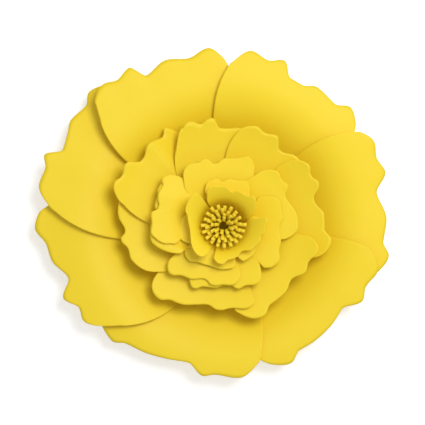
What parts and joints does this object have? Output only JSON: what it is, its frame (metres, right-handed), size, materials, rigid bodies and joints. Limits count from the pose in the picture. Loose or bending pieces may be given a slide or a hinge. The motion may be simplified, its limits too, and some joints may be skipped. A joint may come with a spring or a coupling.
{
  "type": "giant paper flower",
  "caption": "Large round flower of scalloped card petals that lap in rings round a rolled, fringed stamen, on a flat base card that sticks to a wall or backdrop.",
  "frame": {"origin": "middle of the base card's back face", "axes": "+Z out of the flower's open face, +Y towards the top of the picture, +X to its right"},
  "size_m": [0.2978, 0.2778, 0.0577],
  "materials": {
    "outer_petal": "smooth uncoated yellow card",
    "middle_petal": "smooth uncoated yellow card",
    "small_petal": "smooth uncoated yellow card",
    "inner_petal": "smooth uncoated yellow card",
    "heart_petal": "smooth uncoated yellow card",
    "stamen": "smooth uncoated yellow card with cut edges",
    "base_card": "smooth uncoated yellow card"
  },
  "bodies": {
    "root": {"base_card": "base_card", "outer_petal_1": "outer_petal", "outer_petal_2": "outer_petal", "outer_petal_3": "outer_petal", "outer_petal_4": "outer_petal", "outer_petal_5": "outer_petal", "outer_petal_6": "outer_petal", "outer_petal_7": "outer_petal", "middle_petal_1": "middle_petal", "middle_petal_2": "middle_petal", "middle_petal_3": "middle_petal", "middle_petal_4": "middle_petal", "middle_petal_5": "middle_petal", "middle_petal_6": "middle_petal", "middle_petal_7": "middle_petal", "small_petal_1": "small_petal", "small_petal_2": "small_petal", "small_petal_3": "small_petal", "small_petal_4": "small_petal", "small_petal_5": "small_petal", "small_petal_6": "small_petal", "small_petal_7": "small_petal", "inner_petal_1": "inner_petal", "inner_petal_2": "inner_petal", "inner_petal_3": "inner_petal", "inner_petal_4": "inner_petal", "heart_petal_1": "heart_petal", "heart_petal_2": "heart_petal", "heart_petal_3": "heart_petal", "stamen": "stamen"}
  },
  "joints": []
}
